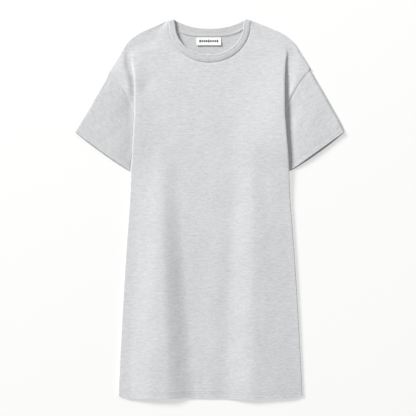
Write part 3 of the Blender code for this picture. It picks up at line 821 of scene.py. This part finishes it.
# -------------------------------------------------------------------- stitches
def add_stitch(verts, faces, uvs, a, b, up, radius=0.28):
    """One short rounded stitch from a to b, a capsule lying on the cloth."""
    a, b, up = np.array(a, float), np.array(b, float), np.array(up, float)
    d = b - a
    long = np.linalg.norm(d)
    if long < 0.3:
        return
    d /= long
    up = up - d * np.dot(up, d)
    up /= np.linalg.norm(up)
    across = np.cross(d, up)
    base = len(verts)
    stations = ((0.0, 0.35), (0.18, 1.0), (0.82, 1.0), (1.0, 0.35))
    for t, w in stations:
        c = a + d * long * t + up * radius * (0.55 * w - 0.35)
        for k in range(6):
            ang = 2.0 * math.pi * k / 6.0
            verts.append(tuple(c + (across * math.cos(ang) + up * math.sin(ang)) * radius * w))
            uvs.append((t * long, k * 0.3))
    for i in range(3):
        for k in range(6):
            faces.append((base + i * 6 + k, base + i * 6 + (k + 1) % 6, base + (i + 1) * 6 + (k + 1) % 6, base + (i + 1) * 6 + k))
    faces.append(tuple(base + k for k in range(6)))
    faces.append(tuple(base + 18 + k for k in range(6)))


def stitch_line(store, points, normals, length=2.6, pitch=3.3, radius=0.28):
    """Stitches spaced evenly along a line of points on a surface."""
    points, normals = np.array(points), np.array(normals)
    seg = np.linalg.norm(np.diff(points, axis=0), axis=1)
    run = np.concatenate([[0.0], np.cumsum(seg)])
    total = run[-1]
    n = int(total / pitch)
    for k in range(n):
        s0 = (k + 0.12) * total / n
        s1 = s0 + length * (total / n) / pitch
        a = [np.interp(s0, run, points[:, i]) for i in range(3)]
        b = [np.interp(min(s1, total), run, points[:, i]) for i in range(3)]
        up = [np.interp((s0 + s1) / 2.0, run, normals[:, i]) for i in range(3)]
        add_stitch(*store, a, b, up, radius)


def surface_row(side_data, y):
    """Outer surface of the front along one height, from the left edge to the right."""
    pts, nrm = [], []
    ys = np.array([r[0] for r in FRONT_ROWS])
    i = int(np.searchsorted(ys, y)) - 1
    t = (y - ys[i]) / (ys[i + 1] - ys[i])
    for side in (-1, 1):
        p, n, _ = side_data[side]
        row = (p[i] + n[i] * CLOTH / 2.0) * (1 - t) + (p[i + 1] + n[i + 1] * CLOTH / 2.0) * t
        norm = n[i] * (1 - t) + n[i + 1] * t
        keep = slice(0, INNER + TURN + 10)
        row, norm = row[keep], norm[keep]
        if side < 0:
            row, norm = row[::-1], norm[::-1]
        pts.append(row)
        nrm.append(norm)
    return np.concatenate([pts[0], pts[1][1:]]), np.concatenate([nrm[0], nrm[1][1:]])


# ------------------------------------------------------------------- materials
def nodes_of(name):
    mat = bpy.data.materials.new(name)
    mat.use_nodes = True
    nt = mat.node_tree
    bsdf = nt.nodes["Principled BSDF"]
    return mat, nt, bsdf


def noise(nt, vector, scale, detail=2.0, rough=0.5, distort=0.0):
    n = nt.nodes.new("ShaderNodeTexNoise")
    n.inputs["Scale"].default_value = scale
    n.inputs["Detail"].default_value = detail
    n.inputs["Roughness"].default_value = rough
    n.inputs["Distortion"].default_value = distort
    nt.links.new(vector, n.inputs["Vector"])
    return n.outputs["Fac"]


def stretched(nt, uv, sx, sy, turn=0.0):
    m = nt.nodes.new("ShaderNodeMapping")
    m.inputs["Scale"].default_value = (sx, sy, 1.0)
    m.inputs["Rotation"].default_value = (0.0, 0.0, turn)
    nt.links.new(uv, m.inputs["Vector"])
    return m.outputs["Vector"]


def math_node(nt, op, a, b):
    n = nt.nodes.new("ShaderNodeMath")
    n.operation = op
    for i, v in enumerate((a, b)):
        if isinstance(v, (int, float)):
            n.inputs[i].default_value = v
        else:
            nt.links.new(v, n.inputs[i])
    return n.outputs[0]


def ramp(nt, fac, stops):
    r = nt.nodes.new("ShaderNodeValToRGB")
    while len(r.color_ramp.elements) < len(stops):
        r.color_ramp.elements.new(0.5)
    for e, (pos, col) in zip(r.color_ramp.elements, stops):
        e.position = pos
        e.color = (*col, 1.0)
    nt.links.new(fac, r.inputs["Fac"])
    return r.outputs["Color"]


def jersey_material(name, tone=1.0, rib=False):
    """Light grey melange knit.  The coordinates are metres on the cloth: u along
    the courses, v along the wales."""
    mat, nt, bsdf = nodes_of(name)
    uv = nt.nodes.new("ShaderNodeUVMap")
    uv.uv_map = "cloth"
    uv = uv.outputs["UV"]
    # slubs: thick and thin yarn runs along the courses, 6 to 9 mm apart, wavering
    slub = noise(nt, stretched(nt, uv, 80.0, 235.0), 1.0, 2.0, 0.5, 0.8)
    slub_fine = noise(nt, stretched(nt, uv, 210.0, 460.0), 1.0, 2.0, 0.5, 0.5)
    # melange: light and dark fibres
    fibre = noise(nt, stretched(nt, uv, 420.0, 1100.0, 0.12), 1.0, 3.0, 0.6, 0.3)
    fleck = noise(nt, stretched(nt, uv, 240.0, 700.0, -0.2), 1.0, 1.0, 0.5, 0.2)
    broad = noise(nt, stretched(nt, uv, 9.0, 11.0), 1.0, 2.0, 0.5, 0.0)
    mixed = math_node(nt, "MULTIPLY_ADD", slub, 0.62)
    mixed.node.inputs[2].default_value = 0.0
    a = math_node(nt, "MULTIPLY", slub, 0.42)
    b = math_node(nt, "MULTIPLY", slub_fine, 0.22)
    c = math_node(nt, "MULTIPLY", fibre, 0.22)
    d = math_node(nt, "MULTIPLY", broad, 0.14)
    total = math_node(nt, "ADD", math_node(nt, "ADD", a, b), math_node(nt, "ADD", c, d))
    nt.nodes.remove(mixed.node)
    # tone scales the whole colour: for the rib it is the rib's own tone, for the back, the sleeves and the back of the
    # neckband it is painted shade
    k = tone
    base = ramp(nt, total, [
        (0.34, (0.560 * k, 0.565 * k, 0.575 * k)),
        (0.46, (0.630 * k, 0.635 * k, 0.645 * k)),
        (0.56, (0.680 * k, 0.684 * k, 0.692 * k)),
        (0.70, (0.755 * k, 0.756 * k, 0.762 * k)),
    ])
    dark = ramp(nt, fleck, [(0.60, (1.0, 1.0, 1.0)), (0.74, (0.87, 0.87, 0.88))])
    mix = nt.nodes.new("ShaderNodeMix")
    mix.data_type = "RGBA"
    mix.blend_type = "MULTIPLY"
    mix.inputs[0].default_value = 1.0
    nt.links.new(base, mix.inputs[6])
    nt.links.new(dark, mix.inputs[7])
    nt.links.new(mix.outputs[2], bsdf.inputs["Base Color"])
    # knit: wales 1.3 mm apart, courses 1.0 mm (the rib's wales are deeper)
    wale = nt.nodes.new("ShaderNodeTexWave")
    wale.wave_type = "BANDS"
    wale.bands_direction = "X"
    wale.inputs["Scale"].default_value = 1.0
    wale.inputs["Distortion"].default_value = 0.6
    wale.inputs["Detail"].default_value = 1.0
    pitch = 0.0018 if rib else 0.0013
    nt.links.new(stretched(nt, uv, 2.0 * math.pi / pitch / 20.0, 2.0 * math.pi / pitch / 200.0), wale.inputs["Vector"])
    course = nt.nodes.new("ShaderNodeTexWave")
    course.wave_type = "BANDS"
    course.bands_direction = "Y"
    course.inputs["Scale"].default_value = 1.0
    course.inputs["Distortion"].default_value = 1.2
    course.inputs["Detail"].default_value = 1.0
    nt.links.new(stretched(nt, uv, 2.0 * math.pi / 0.010 / 20.0, 2.0 * math.pi / 0.0010 / 20.0), course.inputs["Vector"])
    knit = math_node(nt, "ADD", math_node(nt, "MULTIPLY", wale.outputs["Fac"], 0.9 if rib else 0.35),
                     math_node(nt, "MULTIPLY", course.outputs["Fac"], 0.15 if rib else 0.3))
    height = math_node(nt, "ADD", knit, math_node(nt, "MULTIPLY", slub, 2.2))
    height = math_node(nt, "ADD", height, math_node(nt, "MULTIPLY", slub_fine, 1.0))
    bump = nt.nodes.new("ShaderNodeBump")
    bump.inputs["Strength"].default_value = 0.55
    bump.inputs["Distance"].default_value = 0.00035
    nt.links.new(height, bump.inputs["Height"])
    nt.links.new(bump.outputs["Normal"], bsdf.inputs["Normal"])
    rough = math_node(nt, "ADD", math_node(nt, "MULTIPLY", fibre, 0.12), 0.84)
    nt.links.new(rough, bsdf.inputs["Roughness"])
    bsdf.inputs["Specular IOR Level"].default_value = 0.22
    bsdf.inputs["Sheen Weight"].default_value = 0.10
    bsdf.inputs["Sheen Roughness"].default_value = 0.55
    return mat


def label_material():
    mat, nt, bsdf = nodes_of("label_satin")
    uv = nt.nodes.new("ShaderNodeUVMap")
    uv.uv_map = "cloth"
    uv = uv.outputs["UV"]
    warp = nt.nodes.new("ShaderNodeTexWave")
    warp.bands_direction = "Y"
    warp.inputs["Scale"].default_value = 1.0
    warp.inputs["Distortion"].default_value = 0.4
    nt.links.new(stretched(nt, uv, 30.0, 2.0 * math.pi / 0.0005 / 20.0), warp.inputs["Vector"])
    n = noise(nt, stretched(nt, uv, 300.0, 900.0), 1.0, 2.0)
    col = ramp(nt, n, [(0.3, (0.83, 0.83, 0.825)), (0.7, (0.89, 0.89, 0.885))])
    nt.links.new(col, bsdf.inputs["Base Color"])
    bump = nt.nodes.new("ShaderNodeBump")
    bump.inputs["Strength"].default_value = 0.3
    bump.inputs["Distance"].default_value = 0.0001
    nt.links.new(warp.outputs["Fac"], bump.inputs["Height"])
    nt.links.new(bump.outputs["Normal"], bsdf.inputs["Normal"])
    rough = math_node(nt, "ADD", math_node(nt, "MULTIPLY", n, 0.15), 0.42)
    nt.links.new(rough, bsdf.inputs["Roughness"])
    bsdf.inputs["Sheen Weight"].default_value = 0.15
    return mat


def thread_material(name, colour):
    mat, nt, bsdf = nodes_of(name)
    coord = nt.nodes.new("ShaderNodeTexCoord")
    n = noise(nt, coord.outputs["Object"], 1500.0, 2.0)
    lo = tuple(c * 0.86 for c in colour)
    col = ramp(nt, n, [(0.35, lo), (0.65, colour)])
    nt.links.new(col, bsdf.inputs["Base Color"])
    rough = math_node(nt, "ADD", math_node(nt, "MULTIPLY", n, 0.2), 0.5)
    nt.links.new(rough, bsdf.inputs["Roughness"])
    return mat


def floor_material():
    """White table lit from below as well: shadows on it stay pale."""
    mat, nt, bsdf = nodes_of("pale_floor")
    bsdf.inputs["Base Color"].default_value = (0.42, 0.42, 0.42, 1.0)
    bsdf.inputs["Roughness"].default_value = 0.95
    bsdf.inputs["Specular IOR Level"].default_value = 0.0
    bsdf.inputs["Emission Color"].default_value = (1.0, 0.995, 0.985, 1.0)
    bsdf.inputs["Emission Strength"].default_value = 0.54
    return mat


# ----------------------------------------------------------------------- build
jersey = jersey_material("melange_jersey")
# painted shade: the whole back panel is drawn darker than the front (tone 0.885), standing for the shade on its inside
# seen through the neck; it is the same cloth
painted_shade_back_jersey = jersey_material("melange_jersey_painted_shade_back", 0.885)
# painted shade: the sleeves are drawn a little darker than the front (tone 0.965); it is the same cloth
painted_shade_sleeve_jersey = jersey_material("melange_jersey_painted_shade_sleeve", 0.965)
rib = jersey_material("melange_rib", 0.93, rib=True)
# painted shade: the back of the neckband, seen through the neck opening, is drawn darker than its front (tone 0.87); it
# is the same rib
painted_shade_rib_jersey = jersey_material("melange_rib_painted_shade", 0.87, rib=True)
thread = thread_material("sewing_thread", (0.60, 0.61, 0.62))
ink = thread_material("label_thread", (0.045, 0.045, 0.05))

front, front_sides = build_front(jersey)
back = build_back(painted_shade_back_jersey)
sleeve_r = build_sleeve(1, painted_shade_sleeve_jersey)
sleeve_l = build_sleeve(-1, painted_shade_sleeve_jersey)
band = build_neckband(rib, painted_shade_rib_jersey)
label, motif = build_label(label_material(), ink)

# twin-needle rows of the hem
store = ([], [], [])
for up in (12.0, 16.4):
    pts, nrm = surface_row(front_sides, HEM_Y + up)
    stitch_line(store, pts, nrm)
hem_stitches = new_object("hem_stitches", store[0], store[1], store[2], thread)

# twin-needle rows of the cuffs, on the upper layer's outer side
for side, tag in ((1, "right"), (-1, "left")):
    store = ([], [], [])
    for up in (12.0, 16.4):
        s = 1.0 - up / 118.0
        pts, nrm = [], []
        for k in range(0, 61):
            u = k / 60.0
            p = sleeve_plan(side, u, s)
            h = sleeve_height(side, u, s)
            c = float(cockle(p[0] * side + 333.0, p[1])) * float(ease(u / 0.12) * ease((1 - u) / 0.12) * ease(s / 0.1))
            pts.append((side * p[0], p[1], BACK_MID + h + c + CLOTH / 2.0))
            nrm.append((0.0, 0.0, 1.0))
        stitch_line(store, pts, nrm)
    new_object("cuff_stitches_" + tag, store[0], store[1], store[2], thread)

# topstitching on the front of the neckband
store = ([], [], [])
for t in (0.40, 0.70):
    pts, nrm = [], []
    for k in range(-86, 87):
        phi = math.radians(k)
        a = np.array((BAND_IN[0] * math.sin(phi), NECK_Y - BAND_IN[1] * math.cos(phi)))
        b = np.array((BAND_OUT[0] * math.sin(phi), NECK_Y - BAND_OUT[1] * math.cos(phi)))
        p = a + (b - a) * t
        h = (1.0 + 0.16 * math.sin(math.pi * t) - 0.26) * RIB / 2.0
        pts.append((p[0], p[1], NECK_Z + h + 0.5 + 0.4 * (1.0 - t) ** 2))
        nrm.append((0.0, 0.0, 1.0))
    stitch_line(store, pts, nrm, 2.2, 2.8, 0.2)
neck_stitches = new_object("neck_stitches", store[0], store[1], store[2], thread)

for obj, node in ((front, "front_panel"), (back, "back_panel"), (sleeve_r, "sleeve_right"),
                  (sleeve_l, "sleeve_left"), (band, "neckband"), (label, "label")):
    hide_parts(node)

# ------------------------------------------------------------- floor and light
bpy.ops.mesh.primitive_plane_add(size=9.0, location=(0.0, 0.0, -0.0003))
floor = bpy.context.object
floor.name = "floor"
floor.data.materials.append(floor_material())

world = bpy.data.worlds.new("studio")
bpy.context.scene.world = world
world.use_nodes = True
world.node_tree.nodes["Background"].inputs["Color"].default_value = (1.0, 1.0, 1.0, 1.0)
world.node_tree.nodes["Background"].inputs["Strength"].default_value = 0.30

key = bpy.data.lights.new("key", "AREA")
key.shape = "DISK"
key.size = 5.2
key.energy = 3180.0
key_obj = bpy.data.objects.new("key", key)
toward = Vector((-0.76, 0.65, 0.0)).normalized() * math.cos(math.radians(28.0))
toward.z = math.sin(math.radians(28.0))
key_obj.location = toward * 15.0
key_obj.rotation_euler = (-toward).to_track_quat("-Z", "Y").to_euler()
bpy.context.scene.collection.objects.link(key_obj)

fill = bpy.data.lights.new("fill", "AREA")
fill.shape = "DISK"
fill.size = 2.0
fill.energy = 16.0
fill_obj = bpy.data.objects.new("fill", fill)
fill_obj.location = (0.45, 2.2, 2.4)
fill_obj.rotation_euler = (Vector((0.0, 0.1, 0.0)) - fill_obj.location).to_track_quat("-Z", "Y").to_euler()
bpy.context.scene.collection.objects.link(fill_obj)

cam = bpy.data.cameras.new("camera")
cam.lens = 100.0
cam.sensor_width = 36.0
cam.clip_end = 20.0
cam_obj = bpy.data.objects.new("camera", cam)
distance = 0.9984 * cam.lens / cam.sensor_width
cam_obj.location = (-0.0032, 0.0020, 0.006 + distance)
cam_obj.rotation_euler = (0.0, 0.0, 0.0)
bpy.context.scene.collection.objects.link(cam_obj)
bpy.context.scene.camera = cam_obj

bpy.context.scene.view_settings.view_transform = "Standard"
